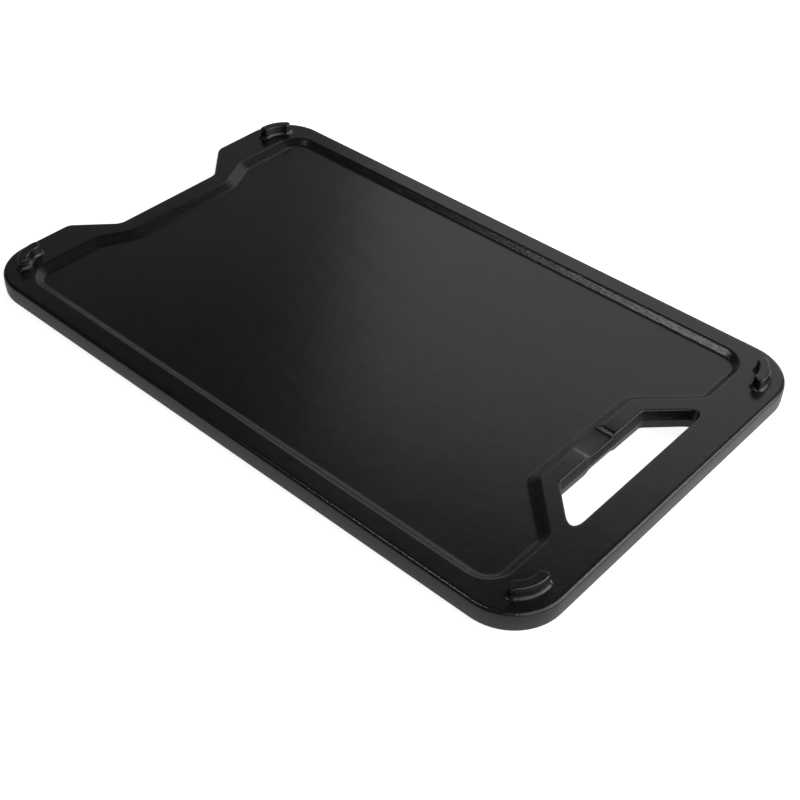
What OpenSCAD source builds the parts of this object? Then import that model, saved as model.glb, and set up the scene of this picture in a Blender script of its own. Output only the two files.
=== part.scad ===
// Reversible cast-iron griddle plate for a camp stove or a grill.
// The real plate is one casting and nothing on it moves.
// Each node is one region of that casting, and neighbouring regions meet face to face.
// The origin is on the ground under the middle of the plate.
// +Y points to the notched end, the handle is at the -Y end, and +Z is up.

/* [Plate] */
// Width across the two long sides
plate_w = 290; // [270:1:330]
// Length from the handle's edge to the notched edge
plate_l = 474; // [450:1:540]
// Thickness of the rim
plate_t = 14.6; // [12:0.1:20]
// Radius of the four outer corners
corner_r = 35; // [32:1:45]

/* [Cooking face] */
// Flat width of the rim along the long sides
side_rim_w = 13.5; // [11:0.5:20]
// Flat width of the rim on both sides of the notch
notch_end_rim_w = 28.5; // [26:0.5:36]
// Flat width of the rim on both sides of the handle
handle_end_rim_w = 32; // [31:0.5:42]
// Depth of the smooth cooking face below the rim
cook_depth = 4; // [2.5:0.1:5]
// Run of the sloping wall round the cooking face, measured level
wall_run = 6; // [3:0.5:8]
// Corner radius of the cooking face at the rim
cook_corner_r = 18; // [14:1:24]

/* [Notch] */
// Depth of the notch in the far end
notch_depth = 25.5; // [20:0.5:30]
// Width of the notch at its floor
notch_floor_w = 90; // [70:1:110]
// Width of the notch at the plate's edge
notch_mouth_w = 144; // [128:1:160]
// Radius of the notch's four corners
notch_r = 9; // [4:0.5:14]
// Flat width of the rim behind the notch's floor
notch_rim_w = 15; // [10:0.5:20]
// Run of the slanting step in the rim behind the notch
notch_step_run = 24; // [18:1:30]
// Radius of the corners of that step, at the rim
notch_step_r = 14; // [8:1:18]

/* [Handle] */
// Width of the bar that the hand closes round
grip_w = 25.7; // [20:0.1:29]
// Depth of the hand slot, from the grip to the bridge
slot_depth = 28.8; // [24:0.2:36]
// Width of the slot along the bridge
slot_inner_w = 84; // [70:1:100]
// Slope of the slot's two ends, in degrees from the bridge
slot_end_angle = 45; // [40:1:60]
// Radius of the two corners beside the grip
slot_grip_r = 6; // [4:0.5:8]
// Radius of the two corners beside the bridge
slot_bridge_r = 4; // [2:0.5:6]
// Flat width of the bridge and of the two arms round the slot
bridge_w = 11; // [8:0.5:16]
// Radius of the bridge's corners, at the rim
bridge_corner_r = 6; // [3:0.5:9]
// Radius where the arms run into the rim, at the rim
arm_root_r = 10; // [9:0.5:14]
// Width of the drain groove over the bridge, at the rim
drain_w = 29; // [16:1:40]
// Depth of the drain groove below the rim
drain_depth = 2; // [1:0.1:2.4]
// Level run of each sloping end of the drain groove
drain_run = 4.75; // [2:0.25:6]

/* [Grill face] */
// Depth of the grill face above the rim's underside
grill_depth = 4; // [2.5:0.1:5]
// Height of the grill ribs
rib_h = 3.4; // [2:0.1:4]
// Width of a rib at its root
rib_w = 6; // [4:0.5:8]
// Slope of a rib's sides, as the level run of each
rib_side_run = 1; // [0.5:0.1:1.5]
// Distance from one rib to the next
rib_pitch = 15; // [12:0.5:20]
// Space between a rib's end and the foot of the wall
rib_end_gap = 4; // [2:0.5:10]

/* [Lugs] */
// Height of the lugs above the rim, and below it
lug_h = 8; // [5:0.5:12]
// Width of a lug at its root, across its arc
lug_w = 7.5; // [6:0.5:9]
// Distance from the plate's rounded corner to the lug
lug_inset = 10; // [8:0.5:12]
// Where a lug's arc starts, in degrees from the plate's width
lug_start = 34; // [25:1:45]
// How far a lug's arc runs, in degrees
lug_sweep = 65; // [50:1:75]
// How far a lug's sides lean in, from root to crest
lug_draft = 0.6; // [0.2:0.1:1.2]

/* [Hidden] */
$fn = 96;
overcut = 1;
// Steps in each rounded corner of the plan
arc_steps = 12;
// Straight length that a corner region keeps at each of its ends
lead = 2;
iron = [0.11, 0.11, 0.115];
lug_iron = [0.14, 0.14, 0.145];

// Levels from the ground up
rim_bottom = lug_h;
rim_top = rim_bottom + plate_t;
floor_bottom = rim_bottom + grill_depth;
floor_top = rim_top - cook_depth;

// Plan of the plate, on its right-hand side
half_w = plate_w / 2;
half_l = plate_l / 2;
corner_x = half_w - corner_r;
corner_y = half_l - corner_r;
rim_x = half_w - side_rim_w;
notch_floor_y = half_l - notch_depth;
slot_grip_y = -half_l + grip_w;
slot_bridge_y = slot_grip_y + slot_depth;
slot_spread = slot_depth / tan(slot_end_angle);
bridge_y = slot_bridge_y + bridge_w;
bridge_half = slot_inner_w / 2 + bridge_w * tan(slot_end_angle / 2);
handle_rim_y = -half_l + handle_end_rim_w;
arm_root_x = bridge_half + (bridge_y - handle_rim_y) / tan(slot_end_angle);

// Outlines are lists of corners, each with its radius, and run anticlockwise
function mirrored(half) = concat(
    half, [for (i = [len(half) - 1:-1:0]) [-half[i][0], half[i][1], half[i][2]]]
);

plate_corners = mirrored([
    [half_w, -half_l, corner_r],
    [half_w, half_l, corner_r],
    [notch_mouth_w / 2, half_l, notch_r],
    [notch_floor_w / 2, notch_floor_y, notch_r]
]);

slot_corners = mirrored([
    [slot_inner_w / 2 + slot_spread, slot_grip_y, slot_grip_r],
    [slot_inner_w / 2, slot_bridge_y, slot_bridge_r]
]);

rim_corners = mirrored([
    [bridge_half, bridge_y, bridge_corner_r],
    [arm_root_x, handle_rim_y, arm_root_r],
    [rim_x, handle_rim_y, cook_corner_r],
    [rim_x, half_l - notch_end_rim_w, cook_corner_r],
    [notch_floor_w / 2 + notch_step_run, half_l - notch_end_rim_w, notch_step_r],
    [notch_floor_w / 2, notch_floor_y - notch_rim_w, notch_step_r]
]);

// Geometry of an outline's corner: its turn, its tangent points and its arc's centre
function xy(p) = [p[0], p[1]];
function unit(v) = v / norm(v);
function left_of(v) = [-v[1], v[0]];
function bearing(v) = atan2(v[1], v[0]);
function after(pts, i) = pts[(i + 1) % len(pts)];
function before(pts, i) = pts[(i + len(pts) - 1) % len(pts)];
function way_in(pts, i) = unit(xy(pts[i]) - xy(before(pts, i)));
function way_out(pts, i) = unit(xy(after(pts, i)) - xy(pts[i]));
function turn(pts, i) = atan2(cross(way_in(pts, i), way_out(pts, i)), way_in(pts, i) * way_out(pts, i));
function tangent(pts, i) = pts[i][2] * tan(abs(turn(pts, i)) / 2);
function arc_start(pts, i) = xy(pts[i]) - way_in(pts, i) * tangent(pts, i);
function arc_end(pts, i) = xy(pts[i]) + way_out(pts, i) * tangent(pts, i);
function arc_centre(pts, i) =
    arc_start(pts, i) + left_of(way_in(pts, i)) * pts[i][2] * sign(turn(pts, i));

// The same outline moved inwards by a distance, with its arcs on the same centres
function inset_corner(pts, i, d) =
    let (a = left_of(way_in(pts, i)), b = left_of(way_out(pts, i)))
    let (p = xy(pts[i]) + d * (a + b) / (1 + a * b))
    [p[0], p[1], pts[i][2] - d * sign(turn(pts, i))];
function inset(pts, d) = [for (i = [0:len(pts) - 1]) inset_corner(pts, i, d)];

// Points along an arc, round one corner of an outline, and along several corners of it
function arc(c, r, from, to) = [
    for (k = [0:arc_steps]) let (t = from + (to - from) * k / arc_steps) c + r * [cos(t), sin(t)]
];
function corner(pts, i) =
    let (c = arc_centre(pts, i), t = bearing(arc_start(pts, i) - c))
    arc(c, pts[i][2], t, t + turn(pts, i));
function path(pts, corners) = [for (i = corners) each corner(pts, i)];
function backwards(points) = [for (i = [len(points) - 1:-1:0]) points[i]];
function at_level(points, z) = [for (p = points) [p[0], p[1], z]];

// Foot of the sloping wall, and the places where one region ends and the next begins
foot_corners = inset(rim_corners, wall_run);
rail_start_y = arc_end(rim_corners, 2)[1] + lead;
rail_end_y = arc_start(rim_corners, 3)[1] - lead;
bridge_end_x = min(arc_end(slot_corners, 1)[0], arc_start(rim_corners, 0)[0]) - lead;
arm_end_x = arc_end(rim_corners, 1)[0] + lead;
notch_rim_end_x = min(arc_end(rim_corners, 5)[0], arc_end(plate_corners, 3)[0]) - lead;

// Round end of the slot, which the bar and the arm share: they meet on its arc
slot_round = arc_centre(slot_corners, 0);
grip_end_y = min(slot_round[1], handle_rim_y);
grip_bearing = asin((grip_end_y - slot_round[1]) / slot_grip_r);
slant_bearing = bearing(arc_end(slot_corners, 0) - slot_round);

// Cross-section of the rim, from its flat top and underside in to the foot of its sloping wall
function rim_section(flat_w) = [
    [-flat_w, rim_bottom], [0, rim_bottom], [wall_run, floor_bottom],
    [wall_run, floor_top], [0, rim_top], [-flat_w, rim_top]
];

// Straight rim across the plate, with its wall towards +Y
module cross_rim(half_length, rim_y, flat_w) {
    translate([-half_length, rim_y, 0]) rotate([90, 0, 90])
        linear_extrude(2 * half_length) polygon(rim_section(flat_w));
}

// Straight rim along the right-hand long side
module side_rim() {
    translate([rim_x, rail_start_y, 0]) rotate([90, 0, 0]) mirror([1, 0, 0]) mirror([0, 0, 1])
        linear_extrude(rail_end_y - rail_start_y) polygon(rim_section(side_rim_w));
}

// Curving rim between three lines that run the same way, with equally many points: its outer edge,
// with the metal on its left, then the top and the foot of its sloping wall
module curved_rim(edge, rim, foot) {
    n = len(edge);
    rings = [
        at_level(edge, rim_bottom), at_level(edge, rim_top), at_level(rim, rim_top),
        at_level(foot, floor_top), at_level(foot, floor_bottom), at_level(rim, rim_bottom)
    ];
    sides = [
        for (k = [0:5], i = [1:n - 1])
            let (a = k * n + i, b = (k + 1) % 6 * n + i) [a - 1, b - 1, b, a]
    ];
    ends = [[for (k = [5:-1:0]) k * n], [for (k = [0:5]) k * n + n - 1]];
    polyhedron([for (ring = rings) each ring], concat(sides, ends));
}

// Right-hand corner of the notched end, from the long side round to the notch
function notch_corner_line(pts, corners, x, y) =
    concat([[x, rail_end_y]], path(pts, corners), [[notch_rim_end_x, y]]);
module notch_corner() {
    curved_rim(
        notch_corner_line(plate_corners, [1, 2, 3], half_w, notch_floor_y),
        notch_corner_line(rim_corners, [3, 4, 5], rim_x, rim_corners[5][1]),
        notch_corner_line(foot_corners, [3, 4, 5], foot_corners[3][0], foot_corners[5][1])
    );
}

// Right-hand corner of the handle end, from the grip's end round to the long side
function handle_corner_line(pts, i, x, y) =
    concat([[arm_end_x, y]], corner(pts, i), [[x, rail_start_y]]);
module handle_corner() {
    curved_rim(
        handle_corner_line(plate_corners, 0, half_w, -half_l),
        handle_corner_line(rim_corners, 2, rim_x, handle_rim_y),
        handle_corner_line(foot_corners, 2, foot_corners[2][0], foot_corners[2][1])
    );
}

// Right-hand arm beside the hand slot, from the bridge down to the grip
function arm_line(pts) =
    concat([[bridge_end_x, pts[0][1]]], path(pts, [0, 1]), [[arm_end_x, pts[1][1]]]);
module handle_arm() {
    slot_side = concat(
        [[bridge_end_x, slot_bridge_y]], backwards(corner(slot_corners, 1)),
        arc(slot_round, slot_grip_r, slant_bearing, grip_bearing), [[arm_end_x, grip_end_y]]
    );
    curved_rim(slot_side, arm_line(rim_corners), arm_line(foot_corners));
}

// Drain groove across the bridge, cut down from zero height
module drain_groove() {
    top_half = drain_w / 2;
    lean = drain_run / drain_depth;
    translate([0, bridge_y + wall_run + overcut, 0]) rotate([90, 0, 0])
        linear_extrude(bridge_w + wall_run + 2 * overcut) polygon([
            [-top_half + drain_run, -drain_depth], [top_half - drain_run, -drain_depth],
            [top_half + lean * overcut, overcut], [-top_half - lean * overcut, overcut]
        ]);
}

// Ribs keep clear of the wall's foot: how far they may run at a distance x from the middle
function rib_inner_x(x) = abs(x) - rib_w / 2;
function between(x, a, b) =
    a[1] + (b[1] - a[1]) * max(0, min(1, (x - a[0]) / (b[0] - a[0])));
function rib_start_y(x) = between(rib_inner_x(x), foot_corners[0], foot_corners[1]) + rib_end_gap;
function rib_end_y(x) = between(rib_inner_x(x), foot_corners[5], foot_corners[4]) - rib_end_gap;
rib_pairs = floor((arc_centre(foot_corners, 2)[0] - rib_w / 2) / rib_pitch);

// One rib on the underside of the floor
module rib(x) {
    translate([x, rib_end_y(x), floor_bottom]) rotate([90, 0, 0])
        linear_extrude(rib_end_y(x) - rib_start_y(x)) polygon([
            [-rib_w / 2, 0], [-rib_w / 2 + rib_side_run, -rib_h],
            [rib_w / 2 - rib_side_run, -rib_h], [rib_w / 2, 0]
        ]);
}

// Arc-shaped lug over the right-hand corner of the notched end, standing on zero height
module lug() {
    outer_r = corner_r - lug_inset;
    inner_r = outer_r - lug_w;
    translate([corner_x, corner_y, 0]) rotate([0, 0, lug_start]) rotate_extrude(angle = lug_sweep)
        polygon([
            [inner_r, 0], [outer_r, 0], [outer_r - lug_draft, lug_h], [inner_r + lug_draft, lug_h]
        ]);
}

// Mirror images of the right-hand and notch-end shapes
module on_left() { mirror([1, 0, 0]) children(); }
module at_handle() { mirror([0, 1, 0]) children(); }
module on_top() { color(lug_iron) translate([0, 0, rim_top]) lug(); }
module underneath() { color(lug_iron) translate([0, 0, rim_bottom]) mirror([0, 0, 1]) lug(); }

module cooking_floor() {
    color(iron) translate([0, 0, floor_bottom]) linear_extrude(floor_top - floor_bottom)
        polygon(path(foot_corners, [0:len(foot_corners) - 1]));
}

module left_rim() { color(iron) on_left() side_rim(); }
module right_rim() { color(iron) side_rim(); }

module notch_rim() {
    color(iron) at_handle() cross_rim(notch_rim_end_x, notch_rim_w - notch_floor_y, notch_rim_w);
}

module notch_corner_left() { color(iron) on_left() notch_corner(); }
module notch_corner_right() { color(iron) notch_corner(); }
module handle_corner_left() { color(iron) on_left() handle_corner(); }
module handle_corner_right() { color(iron) handle_corner(); }
module handle_arm_left() { color(iron) on_left() handle_arm(); }
module handle_arm_right() { color(iron) handle_arm(); }

module handle_bar() {
    slot_edge = arc(slot_round, slot_grip_r, grip_bearing, -90);
    right_side = concat([[arm_end_x, -half_l], [arm_end_x, grip_end_y]], slot_edge);
    left_side = [for (p = backwards(right_side)) [-p[0], p[1]]];
    color(iron) translate([0, 0, rim_bottom]) linear_extrude(plate_t)
        polygon(concat(right_side, left_side));
}

module drain_bridge() {
    color(iron) difference() {
        cross_rim(bridge_end_x, bridge_y, bridge_w);
        translate([0, 0, rim_top]) drain_groove();
        translate([0, 0, rim_bottom]) mirror([0, 0, 1]) drain_groove();
    }
}

module grill_ribs() {
    color(iron) for (k = [-rib_pairs:rib_pairs]) rib(k * rib_pitch);
}

module top_lug_notch_left() { on_left() on_top(); }
module top_lug_notch_right() { on_top(); }
module top_lug_handle_left() { on_left() at_handle() on_top(); }
module top_lug_handle_right() { at_handle() on_top(); }
module foot_lug_notch_left() { on_left() underneath(); }
module foot_lug_notch_right() { underneath(); }
module foot_lug_handle_left() { on_left() at_handle() underneath(); }
module foot_lug_handle_right() { at_handle() underneath(); }

cooking_floor();
left_rim();
right_rim();
notch_rim();
notch_corner_left();
notch_corner_right();
handle_corner_left();
handle_corner_right();
handle_arm_left();
handle_arm_right();
handle_bar();
drain_bridge();
grill_ribs();
top_lug_notch_left();
top_lug_notch_right();
top_lug_handle_left();
top_lug_handle_right();
foot_lug_notch_left();
foot_lug_notch_right();
foot_lug_handle_left();
foot_lug_handle_right();
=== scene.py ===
from math import atan2, copysign, cos, pi, radians, sin, tan

import bmesh
import bpy
from mathutils import Matrix, Vector


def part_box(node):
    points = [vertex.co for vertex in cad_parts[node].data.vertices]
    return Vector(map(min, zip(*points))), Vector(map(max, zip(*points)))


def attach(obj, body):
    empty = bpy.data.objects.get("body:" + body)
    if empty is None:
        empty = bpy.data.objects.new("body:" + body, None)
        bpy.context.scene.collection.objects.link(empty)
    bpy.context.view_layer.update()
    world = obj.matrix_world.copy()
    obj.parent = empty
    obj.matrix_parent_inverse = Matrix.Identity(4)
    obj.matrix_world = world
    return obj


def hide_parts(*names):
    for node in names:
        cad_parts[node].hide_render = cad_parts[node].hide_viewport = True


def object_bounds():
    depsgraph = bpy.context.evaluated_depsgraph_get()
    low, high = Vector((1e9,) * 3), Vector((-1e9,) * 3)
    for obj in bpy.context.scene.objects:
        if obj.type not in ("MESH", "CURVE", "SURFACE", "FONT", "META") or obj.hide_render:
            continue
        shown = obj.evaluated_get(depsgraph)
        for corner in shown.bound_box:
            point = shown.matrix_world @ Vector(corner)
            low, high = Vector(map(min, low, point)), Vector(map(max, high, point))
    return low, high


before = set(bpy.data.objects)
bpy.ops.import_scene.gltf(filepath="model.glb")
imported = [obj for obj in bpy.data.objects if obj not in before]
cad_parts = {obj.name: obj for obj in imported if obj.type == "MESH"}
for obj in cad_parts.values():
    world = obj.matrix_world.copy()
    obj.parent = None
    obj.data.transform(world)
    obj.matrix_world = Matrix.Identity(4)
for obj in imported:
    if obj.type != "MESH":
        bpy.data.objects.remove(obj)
cad_low, cad_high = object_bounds()


# The plate is one grey-iron casting, poured in sand and seasoned black.
# Its two faces are alike: a rim, a sloping wall and a sunken floor, with a hand slot at one end
# and a notch at the other. Half its thickness is shaped here and mirrored at the mould's parting.
def mirrored(half):
    """A right-hand run of corners (x, y, radius), then its mirror image on the left."""
    return half + [(-x, y, r) for x, y, r in reversed(half)]


def widened(corners, by):
    """The same anticlockwise outline, its sides moved outwards and its arcs on their centres."""
    moved = []
    for i, (x, y, r) in enumerate(corners):
        x0, y0, _ = corners[i - 1]
        x1, y1, _ = corners[(i + 1) % len(corners)]
        way_in = Vector((x - x0, y - y0)).normalized()
        way_out = Vector((x1 - x, y1 - y)).normalized()
        out_in = Vector((way_in.y, -way_in.x))
        out_out = Vector((way_out.y, -way_out.x))
        shift = (out_in + out_out) * by / (1 + out_in.dot(out_out))
        side = 1 if way_in.cross(way_out) > 0 else -1
        moved.append((x + shift.x, y + shift.y, r + side * by if r else 0))
    return moved


near = 1e-5  # two points this close, in metres, count as one place
same = 1e-6  # and two levels this close as one level


def pick(piece, kind, wanted):
    """In edit mode, selects only the verts, edges or faces that the test wants."""
    bpy.ops.mesh.select_all(action="DESELECT")
    mesh = bmesh.from_edit_mesh(piece.data)
    for part in getattr(mesh, kind):
        if wanted(part):
            part.select_set(True)
    mesh.select_flush_mode()
    bmesh.update_edit_mesh(piece.data)


def round_corner(piece, corners, i, steps):
    """Rounds off corner i of a flat outline with a vertex bevel."""
    x, y, r = corners[i]
    x0, y0, _ = corners[i - 1]
    x1, y1, _ = corners[(i + 1) % len(corners)]
    turn = Vector((x - x0, y - y0)).angle(Vector((x1 - x, y1 - y)))
    pick(piece, "verts", lambda v: (v.co.xy - Vector((x, y))).length < near)
    bpy.ops.mesh.bevel(
        offset=r * tan(turn / 2), offset_type="ABSOLUTE", segments=steps, affect="VERTICES"
    )


def draw_outline(name, corners, height, steps=12):
    """A new piece: one flat face that points up, drawn through corners (x, y, radius)."""
    bpy.ops.object.select_all(action="DESELECT")
    bpy.ops.mesh.primitive_plane_add()
    piece = bpy.context.object
    piece.name = name
    bpy.ops.object.mode_set(mode="EDIT")
    bpy.ops.mesh.select_mode(type="VERT")
    bpy.ops.mesh.select_all(action="SELECT")
    bpy.ops.mesh.merge(type="CENTER")
    here = Vector((corners[0][0], corners[0][1], height))
    bpy.ops.transform.translate(value=here)
    for x, y, _ in corners[1:]:
        there = Vector((x, y, height))
        bpy.ops.mesh.extrude_vertices_move(TRANSFORM_OT_translate={"value": there - here})
        here = there
    bpy.ops.mesh.select_all(action="SELECT")
    bpy.ops.mesh.edge_face_add()
    for i, corner in enumerate(corners):
        if corner[2] > 0:
            round_corner(piece, corners, i, steps)
    bpy.ops.mesh.select_all(action="SELECT")
    bpy.ops.mesh.select_mode(type="FACE")
    if any(face.normal.z < 0 for face in bmesh.from_edit_mesh(piece.data).faces):
        bpy.ops.mesh.flip_normals()
    return piece


def rounded_profile(points, steps=6):
    """A section through (inwards, height, radius) points, with an arc of that radius at each."""
    section = [Vector(points[0][:2])]
    for before, (x, h, r), after in zip(points, points[1:], points[2:]):
        corner = Vector((x, h))
        way_in = (corner - Vector(before[:2])).normalized()
        way_out = (Vector(after[:2]) - corner).normalized()
        turn = way_in.angle_signed(way_out)
        reach = r * tan(abs(turn) / 2)
        start = corner - way_in * reach
        heading = atan2(way_in.y, way_in.x)
        for k in range(steps + 1):
            part = turn * k / steps
            chord = 2 * r * abs(sin(part / 2))
            way = Vector((cos(heading - part / 2), sin(heading - part / 2)))
            section.append(start + chord * way)
    return section + [Vector(points[-1][:2])]


def step_inwards(section):
    """Insets the selected face again and again, so that its border follows the section."""
    for here, there in zip(section, section[1:]):
        bpy.ops.mesh.inset(thickness=there.x - here.x, depth=there.y - here.y)


# Outer side: a slight draft up from the parting line, and a soft cast edge.
bar_low, bar_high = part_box("handle_bar")
notch_rim_low, notch_rim_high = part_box("notch_rim")
half_width = cad_high.x
half_length = cad_high.y
mid_height = (bar_low.z + bar_high.z) / 2
half_thick = bar_high.z - mid_height
plate_corner_r = 0.035
notch_half_floor = 0.045
notch_half_mouth = 0.072
notch_r = 0.009
side_draft = 0.0002
outer_edge_r = 0.0025
outer_lead = 0.0012
plate_corners = mirrored([
    (half_width, -half_length, plate_corner_r),
    (half_width, half_length, plate_corner_r),
    (notch_half_mouth, half_length, notch_r),
    (notch_half_floor, notch_rim_high.y, notch_r),
])
casting = draw_outline("griddle_casting", plate_corners, 0.0, steps=16)
step_inwards(rounded_profile([
    (0.0, 0.0, 0),
    (side_draft, half_thick, outer_edge_r),
    (side_draft + outer_edge_r + outer_lead, half_thick, 0),
]))
bpy.ops.mesh.delete(type="ONLY_FACE")
bpy.ops.object.mode_set(mode="OBJECT")

# Stations across the bridge, where the drain groove's blends and slopes begin and end.
drain_half_top = 0.0145
drain_half_floor = 0.0110
drain_blend = 0.0012
strip_half = 0.028
drain_stations = [strip_half]
for edge in (drain_half_top, drain_half_floor):
    for reach in (drain_blend, drain_blend / 3, -drain_blend / 3, -drain_blend):
        drain_stations.append(edge + reach)
drain_stations += [-x for x in reversed(drain_stations)]

# Sunken cooking face: a soft edge at the rim, a sloping wall and a soft foot, then the flat floor.
# It goes round the notch at one end, and round the bridge and the two slanting arms at the other.
floor_low, floor_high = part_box("cooking_floor")
bridge_low, bridge_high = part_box("drain_bridge")
cook_depth = bar_high.z - floor_high.z
wall_run = 0.006
rim_edge_r = 0.0050
wall_foot_r = 0.0062
rim_lead = 0.0018
floor_lead = 0.0030
rim_x = floor_high.x + wall_run
rim_far_y = floor_high.y + wall_run
rim_near_y = floor_low.y - wall_run
rim_notch_y = notch_rim_low.y + wall_run
rim_bridge_y = bridge_high.y - wall_run
cook_corner_r = 0.018
notch_step_run = 0.024
notch_step_r = 0.014
arm_slant = radians(45)
slot_half_inner = 0.042
slot_bridge_y = bridge_low.y
bridge_half = slot_half_inner + (rim_bridge_y - slot_bridge_y) * tan(arm_slant / 2)
bridge_corner_r = 0.006
arm_root_x = bridge_half + rim_bridge_y - rim_near_y
arm_root_r = 0.010
pocket_corners = mirrored([
    (bridge_half, rim_bridge_y, bridge_corner_r),
    (arm_root_x, rim_near_y, arm_root_r),
    (rim_x, rim_near_y, cook_corner_r),
    (rim_x, rim_far_y, cook_corner_r),
    (notch_half_floor + notch_step_run, rim_far_y, notch_step_r),
    (notch_half_floor, rim_notch_y, notch_step_r),
]) + [(x, rim_bridge_y, 0) for x in reversed(drain_stations)]
pocket = draw_outline("cooking_face", widened(pocket_corners, rim_lead), half_thick)
step_inwards(rounded_profile([
    (-rim_lead, 0.0, 0),
    (0.0, 0.0, rim_edge_r),
    (wall_run, -cook_depth, wall_foot_r),
    (wall_run + floor_lead, -cook_depth, 0),
]))
bpy.ops.mesh.delete(type="ONLY_FACE")
bpy.ops.mesh.select_mode(type="EDGE")
half_down = half_thick - cook_depth / 2
pick(pocket, "edges", lambda e: e.is_boundary and e.verts[0].co.z < half_down)
bpy.ops.mesh.fill(use_beauty=True)

# The walls along the long sides and the handle end are steeper than the wall at the notch: at the
# sides the upper edge lies nearer to the floor, and at the handle the foot lies further out.
side_pull = 0.0014
side_pull_from, side_pull_to = 0.105, 0.125
foot_pull = 0.0016
foot_pull_from, foot_pull_to = -0.178, -0.194


def ramp(value, start, end):
    """How far a value has come from start to end, held between 0 and 1."""
    return min(1.0, max(0.0, (value - start) / (end - start)))


mesh = bmesh.from_edit_mesh(pocket.data)
for v in mesh.verts:
    height = 1 + (v.co.z - half_thick) / cook_depth
    side_share = ramp(abs(v.co.x), side_pull_from, side_pull_to)
    foot_share = ramp(v.co.y, foot_pull_from, foot_pull_to)
    v.co.x -= copysign(side_pull * height * side_share, v.co.x)
    v.co.y -= foot_pull * (1 - height) * foot_share
bmesh.update_edit_mesh(pocket.data)
bpy.ops.object.mode_set(mode="OBJECT")

# Hand slot: its walls lean in to a low ridge at the parting line.
grip_width = 0.0257
slot_grip_y = -half_length + grip_width
slot_depth = slot_bridge_y - slot_grip_y
slot_grip_r = 0.006
slot_bridge_r = 0.004
slot_ridge = 0.0013
slot_edge_r = 0.0010
slot_lead = 0.0022
slot_right = [
    (slot_half_inner + slot_depth, slot_grip_y, slot_grip_r),
    (slot_half_inner, slot_bridge_y, slot_bridge_r),
]
slot_left = mirrored(slot_right)[2:]
slot_corners = slot_right + [(x, slot_bridge_y, 0) for x in drain_stations] + slot_left
slot = draw_outline("hand_slot", widened(slot_corners, slot_lead), half_thick)
step_inwards(rounded_profile([
    (-slot_lead, 0.0, 0),
    (0.0, 0.0, slot_edge_r),
    (slot_ridge, -half_thick, 0),
]))
bpy.ops.mesh.delete(type="ONLY_FACE")
bpy.ops.object.mode_set(mode="OBJECT")

# The three are joined, the bridge is spanned between slot and cooking face, and the rim is filled.
bpy.ops.object.select_all(action="DESELECT")
for part in (slot, pocket, casting):
    part.select_set(True)
bpy.context.view_layer.objects.active = casting
bpy.ops.object.join()
bpy.ops.object.mode_set(mode="EDIT")
bpy.ops.mesh.select_mode(type="EDGE")
strip_lines = (slot_bridge_y + slot_lead, rim_bridge_y - rim_lead)


def on_rim(v):
    """Whether a point lies at the level of the rim."""
    return abs(v.co.z - half_thick) < same


def on_strip_line(v):
    """Whether a point lies on one of the two straight edges that the bridge spans."""
    in_strip = abs(v.co.x) < strip_half + near
    return on_rim(v) and in_strip and any(abs(v.co.y - y) < near for y in strip_lines)


pick(casting, "edges", lambda e: e.is_boundary and all(on_strip_line(v) for v in e.verts))
bpy.ops.mesh.bridge_edge_loops()
pick(casting, "edges", lambda e: e.is_boundary and all(on_rim(v) for v in e.verts))
bpy.ops.mesh.fill(use_beauty=True)

# Drain groove over the bridge: the metal is lowered between two gentle slopes.
drain_depth = 0.002
drain_past_slot = 0.003
drain_past_bridge = 0.001
drain_from_y = slot_bridge_y - drain_past_slot
drain_to_y = bridge_high.y + drain_past_bridge


def drain_drop(x):
    """How far the groove lies below the rim at a distance x from the middle."""
    slope = drain_depth / (drain_half_top - drain_half_floor)
    rise = 0.0
    for edge, way in ((drain_half_top, 1), (drain_half_floor, -1)):
        inside = max(0.0, edge + drain_blend - abs(x))
        blended = slope * min(inside, 2 * drain_blend) ** 2 / (4 * drain_blend)
        rise += way * (blended + slope * max(0.0, inside - 2 * drain_blend))
    return rise


mesh = bmesh.from_edit_mesh(casting.data)
for v in mesh.verts:
    if abs(v.co.x) < strip_half and drain_from_y < v.co.y < drain_to_y:
        drop = drain_drop(v.co.x)
        if v.co.y < strip_lines[0] + near:
            v.co.z = v.co.z * (1 - drop / half_thick)
        else:
            v.co.z = min(v.co.z, half_thick - drop)
bmesh.update_edit_mesh(casting.data)
bpy.ops.object.mode_set(mode="OBJECT")

# Mirrored at the parting line, and lifted onto its lugs.
casting_smooth = radians(16)
parting = casting.modifiers.new("parting", "MIRROR")
parting.use_axis = (False, False, True)
parting.merge_threshold = near
bpy.ops.object.modifier_apply(modifier=parting.name)
bpy.ops.object.mode_set(mode="EDIT")
bpy.ops.mesh.select_all(action="SELECT")
bpy.ops.mesh.remove_doubles(threshold=same)
bpy.ops.mesh.normals_make_consistent(inside=False)
bpy.ops.transform.translate(value=(0, 0, mid_height))
bpy.ops.object.mode_set(mode="OBJECT")
bpy.ops.object.shade_smooth_by_angle(angle=casting_smooth)


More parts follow.
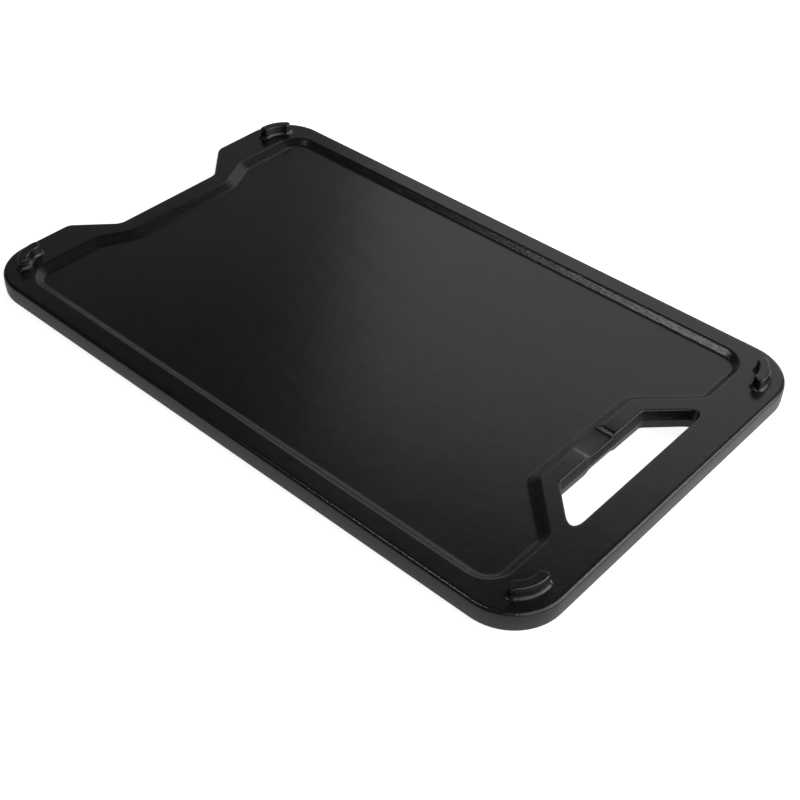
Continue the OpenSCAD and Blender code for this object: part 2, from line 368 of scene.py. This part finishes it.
def cast_iron():
    """Seasoned black iron: satin, with the pebbled skin that the sand mould leaves."""
    material = bpy.data.materials.new("seasoned_cast_iron")
    material.use_nodes = True
    nodes, links = material.node_tree.nodes, material.node_tree.links
    shader = nodes["Principled BSDF"]
    place = nodes.new("ShaderNodeTexCoord").outputs["Object"]

    def noise(scale, detail, roughness):
        node = nodes.new("ShaderNodeTexNoise")
        node.inputs["Scale"].default_value = scale
        node.inputs["Detail"].default_value = detail
        node.inputs["Roughness"].default_value = roughness
        links.new(place, node.inputs["Vector"])
        return node.outputs["Fac"]

    def remap(value, start, end, low=0.0, high=1.0):
        node = nodes.new("ShaderNodeMapRange")
        node.inputs["From Min"].default_value = start
        node.inputs["From Max"].default_value = end
        node.inputs["To Min"].default_value = low
        node.inputs["To Max"].default_value = high
        links.new(value, node.inputs["Value"])
        return node.outputs["Result"]

    # Colour: seasoning lies a little thicker and browner in cloudy patches.
    tint = nodes.new("ShaderNodeMix")
    tint.data_type = "RGBA"
    tint.inputs["A"].default_value = (0.0042, 0.0042, 0.0043, 1)
    tint.inputs["B"].default_value = (0.0066, 0.0063, 0.0060, 1)
    clouds = noise(scale=38, detail=5, roughness=0.6)
    links.new(remap(clouds, 0.3, 0.7), tint.inputs["Factor"])
    links.new(tint.outputs["Result"], shader.inputs["Base Color"])

    # Gloss: satin, duller where the skin is grainy.
    grain = noise(scale=160, detail=4, roughness=0.65)
    links.new(remap(grain, 0.3, 0.7, low=0.21, high=0.27), shader.inputs["Roughness"])

    # Skin: pebbles a millimetre or two across, much flatter on level faces.
    facing = nodes.new("ShaderNodeSeparateXYZ")
    links.new(nodes.new("ShaderNodeNewGeometry").outputs["Normal"], facing.inputs[0])
    level = nodes.new("ShaderNodeMath")
    level.operation = "ABSOLUTE"
    links.new(facing.outputs["Z"], level.inputs[0])
    pebble_strength = remap(level.outputs[0], 0.90, 1.0, low=0.5, high=0.08)

    # Small dents, one here and there on the skin.
    dots = nodes.new("ShaderNodeTexVoronoi")
    dots.inputs["Scale"].default_value = 42
    links.new(place, dots.inputs["Vector"])
    dents = remap(dots.outputs["Distance"], 0.02, 0.05)

    normal = None
    for height, reach, strength in (
        (noise(scale=45, detail=2, roughness=0.5), 0.0012, 0.12),
        (dents, 0.00018, 0.35),
        (noise(scale=640, detail=3, roughness=0.6), 0.00050, pebble_strength),
    ):
        bump = nodes.new("ShaderNodeBump")
        bump.inputs["Distance"].default_value = reach
        links.new(height, bump.inputs["Height"])
        if isinstance(strength, float):
            bump.inputs["Strength"].default_value = strength
        else:
            links.new(strength, bump.inputs["Strength"])
        if normal:
            links.new(normal, bump.inputs["Normal"])
        normal = bump.outputs["Normal"]
    links.new(normal, shader.inputs["Normal"])
    return material


iron = cast_iron()
casting.data.materials.clear()
casting.data.materials.append(iron)
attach(casting, "root")
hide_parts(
    "cooking_floor", "left_rim", "right_rim", "notch_rim", "notch_corner_left",
    "notch_corner_right", "handle_corner_left", "handle_corner_right", "handle_arm_left",
    "handle_arm_right", "handle_bar", "drain_bridge",
)


# Grill ribs on the underside: straight bars cast with the floor, rounded along their crests.
# Each lies between the walls, and its place and length are those of the solid it stands for.
def close_base(piece):
    """Caps the open border at the root of a raised piece, and turns all its faces outwards."""
    bpy.ops.mesh.select_mode(type="EDGE")
    pick(piece, "edges", lambda e: e.is_boundary)
    bpy.ops.mesh.edge_face_add()
    bpy.ops.mesh.select_all(action="SELECT")
    bpy.ops.mesh.normals_make_consistent(inside=False)


def turn_over(about_z):
    """Flips the selected mesh upside down about a level, with its faces still outwards."""
    bpy.ops.transform.resize(value=(1, 1, -1), center_override=(0, 0, about_z))
    bpy.ops.mesh.normals_make_consistent(inside=False)


raised_smooth = radians(28)
rib_height = floor_low.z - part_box("grill_ribs")[0].z
rib_half_root = 0.003
rib_side_run = 0.001
rib_crest_r = 0.0011
rib_foot_r = 0.0009
rib_end_r = 0.0024
rib_sink = 0.00004
rib_pitch = 0.015
rib_ends = {}
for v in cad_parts["grill_ribs"].data.vertices:
    rib_ends.setdefault(round(v.co.x / rib_pitch), []).append(v.co.y)

bars = []
for place, ends in sorted(rib_ends.items()):
    x, y0, y1 = place * rib_pitch, min(ends), max(ends)
    bar_corners = [
        (x + rib_half_root, y0, rib_end_r), (x + rib_half_root, y1, rib_end_r),
        (x - rib_half_root, y1, rib_end_r), (x - rib_half_root, y0, rib_end_r),
    ]
    bar_plan = widened(bar_corners, rib_foot_r)
    bar = draw_outline("grill_ribs", bar_plan, floor_low.z - rib_sink, steps=6)
    step_inwards(rounded_profile([
        (0.0, 0.0, 0),
        (rib_foot_r, rib_sink, rib_foot_r),
        (rib_foot_r + rib_side_run, rib_height + rib_sink, rib_crest_r),
        (rib_foot_r + rib_side_run + rib_crest_r, rib_height + rib_sink, 0),
    ], steps=4))
    close_base(bar)
    turn_over(floor_low.z)
    bpy.ops.object.mode_set(mode="OBJECT")
    bars.append(bar)
bpy.ops.object.select_all(action="DESELECT")
for bar in bars:
    bar.select_set(True)
ribs = bars[0]
bpy.context.view_layer.objects.active = ribs
bpy.ops.object.join()
ribs.name = "grill_rib_bars"
bpy.ops.object.shade_smooth_by_angle(angle=raised_smooth)
ribs.data.materials.clear()
ribs.data.materials.append(iron)
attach(ribs, "root")
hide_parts("grill_ribs")


# Arc-shaped lugs over the four corners and under them, cast with the rim.
# The plate stands on one set, and on the other when it is turned over.
lug_low, lug_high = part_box("top_lug_notch_right")
lug_height = lug_high.z - lug_low.z
lug_centre = Vector((half_width - plate_corner_r, half_length - plate_corner_r, lug_low.z))
lug_outer_r = 0.0242
lug_inner_r = 0.0171
lug_start = radians(32.5)
lug_sweep = radians(67)
lug_draft = 0.0003
lug_foot_r = 0.0027
lug_crest_r = 0.0011
lug_end_r = 0.0024
lug_sink = 0.00005
lug_outer_rest = radians(15)
lug_inner_rest = radians(-24)
lug_steps = 16
flare_turn = lug_foot_r / ((lug_outer_r + lug_inner_r) / 2)
lug_first = lug_start - flare_turn
lug_last = lug_start + lug_sweep + flare_turn


def lug_line(radius, first, last, rest):
    """Corners along an arc about the lug's centre: round at both ends, and plain in between."""
    span = last - first - 2 * rest
    turns = [first + rest + span * k / lug_steps for k in range(lug_steps + 1)]
    rounds = [0] * len(turns)
    end_r = lug_end_r + lug_foot_r
    return [
        (lug_centre.x + radius * cos(turn), lug_centre.y + radius * sin(turn), r)
        for turn, r in zip([first] + turns + [last], [end_r] + rounds + [end_r])
    ]


lug_plan = lug_line(lug_outer_r + lug_foot_r, lug_first, lug_last, lug_outer_rest)
lug_plan += lug_line(lug_inner_r - lug_foot_r, lug_last, lug_first, lug_inner_rest)
lug = draw_outline("top_lug_notch_right_cast", lug_plan, lug_low.z - lug_sink, steps=8)
step_inwards(rounded_profile([
    (0.0, 0.0, 0),
    (lug_foot_r, lug_sink, lug_foot_r),
    (lug_foot_r + lug_draft, lug_height + lug_sink, lug_crest_r),
    (lug_foot_r + lug_draft + lug_crest_r, lug_height + lug_sink, 0),
]))
close_base(lug)
bpy.ops.object.mode_set(mode="OBJECT")
bpy.ops.object.shade_smooth_by_angle(angle=raised_smooth)
lug.data.materials.clear()
lug.data.materials.append(iron)

for level in ("top", "foot"):
    for end, along in (("notch", 1), ("handle", -1)):
        for side, across in (("right", 1), ("left", -1)):
            node = f"{level}_lug_{end}_{side}"
            copy = lug
            if node != "top_lug_notch_right":
                bpy.ops.object.select_all(action="DESELECT")
                lug.select_set(True)
                bpy.context.view_layer.objects.active = lug
                bpy.ops.object.duplicate()
                copy = bpy.context.object
                copy.name = node + "_cast"
                bpy.ops.object.mode_set(mode="EDIT")
                bpy.ops.mesh.select_all(action="SELECT")
                bpy.ops.transform.resize(value=(across, along, 1), center_override=(0, 0, 0))
                if level == "foot":
                    turn_over(mid_height)
                bpy.ops.mesh.normals_make_consistent(inside=False)
                bpy.ops.object.mode_set(mode="OBJECT")
            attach(copy, "root")
            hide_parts(node)


# Pale studio floor, which shows white to the camera and keeps the plate's soft shadow.
# Mirrored rays see it a little brighter than it is lit, as they would in a white studio.
def backdrop_glow(tree, ambient, camera, glossy, through):
    """A strength for a backdrop: what it gives to all rays, and what each kind of look adds."""
    ray = tree.nodes.new("ShaderNodeLightPath")
    total = None
    for seen_by, strength in (
        ("Is Camera Ray", camera), ("Is Glossy Ray", glossy), ("Is Transmission Ray", through)
    ):
        share = tree.nodes.new("ShaderNodeMath")
        share.operation = "MULTIPLY_ADD"
        share.inputs[1].default_value = strength
        share.inputs[2].default_value = ambient
        tree.links.new(ray.outputs[seen_by], share.inputs[0])
        if total:
            tree.links.new(total, share.inputs[2])
        total = share.outputs[0]
    return total


bpy.ops.object.select_all(action="DESELECT")
bpy.ops.mesh.primitive_plane_add(size=12)
floor = bpy.context.object
floor.name = "studio_floor"
paper = bpy.data.materials.new("white_paper")
paper.use_nodes = True
paper_nodes, paper_links = paper.node_tree.nodes, paper.node_tree.links
paper_nodes.clear()
paper_skin = paper_nodes.new("ShaderNodeBsdfDiffuse")
paper_skin.inputs["Color"].default_value = (0.8, 0.8, 0.8, 1)
glow = paper_nodes.new("ShaderNodeEmission")
paper_glow = backdrop_glow(paper.node_tree, ambient=0, camera=0.90, glossy=0.24, through=0.90)
paper_links.new(paper_glow, glow.inputs["Strength"])
both = paper_nodes.new("ShaderNodeAddShader")
paper_links.new(paper_skin.outputs[0], both.inputs[0])
paper_links.new(glow.outputs[0], both.inputs[1])
paper_out = paper_nodes.new("ShaderNodeOutputMaterial")
paper_links.new(both.outputs[0], paper_out.inputs["Surface"])
floor.data.materials.append(paper)


# Soft studio light. A small gridded lamp overhead glints on the right wall and the left edge, and
# panels on the right and behind are mirrored in the satin faces. A large warm key in front, with a
# smaller one at its side, lights the outer walls and the paper.
def softbox(name, place, width, height, power, tint=(1, 1, 1), aim=(0, 0, 0), spread=pi):
    """A rectangular area lamp at a place, turned to its aim; a small spread is that of a grid."""
    bpy.ops.object.light_add(type="AREA", location=place)
    lamp = bpy.context.object
    lamp.name = name
    lamp.rotation_euler = (Vector(aim) - Vector(place)).to_track_quat("-Z", "Y").to_euler()
    lamp.data.shape = "RECTANGLE"
    lamp.data.size = width
    lamp.data.size_y = height
    lamp.data.energy = power
    lamp.data.color = tint
    lamp.data.spread = spread


warm = (1.0, 0.965, 0.93)
softbox(
    "overhead", place=(-0.60, 0.40, 1.44), width=0.26, height=0.26, power=0.160,
    aim=(0.06, -0.18, 0.02), spread=radians(30),
)
softbox("right_panel", place=(1.12, 0.44, 0.81), width=1.00, height=0.80, power=1.95)
softbox("right_low", place=(1.42, 0.05, 0.28), width=0.60, height=0.35, power=2.2)
softbox("back_panel", place=(0.68, 1.18, 0.50), width=0.85, height=0.75, power=0.33)
softbox("back_low", place=(1.28, 0.65, 0.23), width=1.50, height=0.22, power=0.60)
softbox("front_key", place=(0.15, -1.60, 1.10), width=3.00, height=1.80, power=33, tint=warm)
softbox("front_edge", place=(0.75, -1.20, 0.45), width=1.20, height=0.80, power=7, tint=warm)

world = bpy.data.worlds.new("studio")
bpy.context.scene.world = world
world.use_nodes = True
sky = world.node_tree.nodes["Background"]
sky.inputs["Color"].default_value = (1, 1, 1, 1)
sky_glow = backdrop_glow(world.node_tree, ambient=0.02, camera=0.98, glossy=0.04, through=0.98)
world.node_tree.links.new(sky_glow, sky.inputs["Strength"])
bpy.context.scene.view_settings.view_transform = "Standard"


# Camera at the photograph's place: its turn and height round the plate were solved on the plate's
# outline, with the small tilt that the picture has.
view_azimuth = radians(-48.274)
view_elevation = radians(41.293)
view_roll = radians(0.798)
view_distance = 0.84056
view_target = Vector((-0.039132, -0.056351, bar_low.z))
level_reach = cos(view_elevation)
back = Vector((
    sin(view_azimuth) * level_reach, -cos(view_azimuth) * level_reach, sin(view_elevation)
))
sideways = Vector((cos(view_azimuth), sin(view_azimuth), 0))
upward = back.cross(sideways)
right = sideways * cos(view_roll) + upward * sin(view_roll)
up = upward * cos(view_roll) - sideways * sin(view_roll)
bpy.ops.object.camera_add()
camera = bpy.context.object
camera.name = "photo_camera"
camera.data.sensor_width = 36
camera.data.lens = 59.925
turned = Matrix((right, up, back)).transposed().to_4x4()
camera.matrix_world = Matrix.Translation(view_target + back * view_distance) @ turned
camera.data.clip_start = 0.01
bpy.context.scene.camera = camera
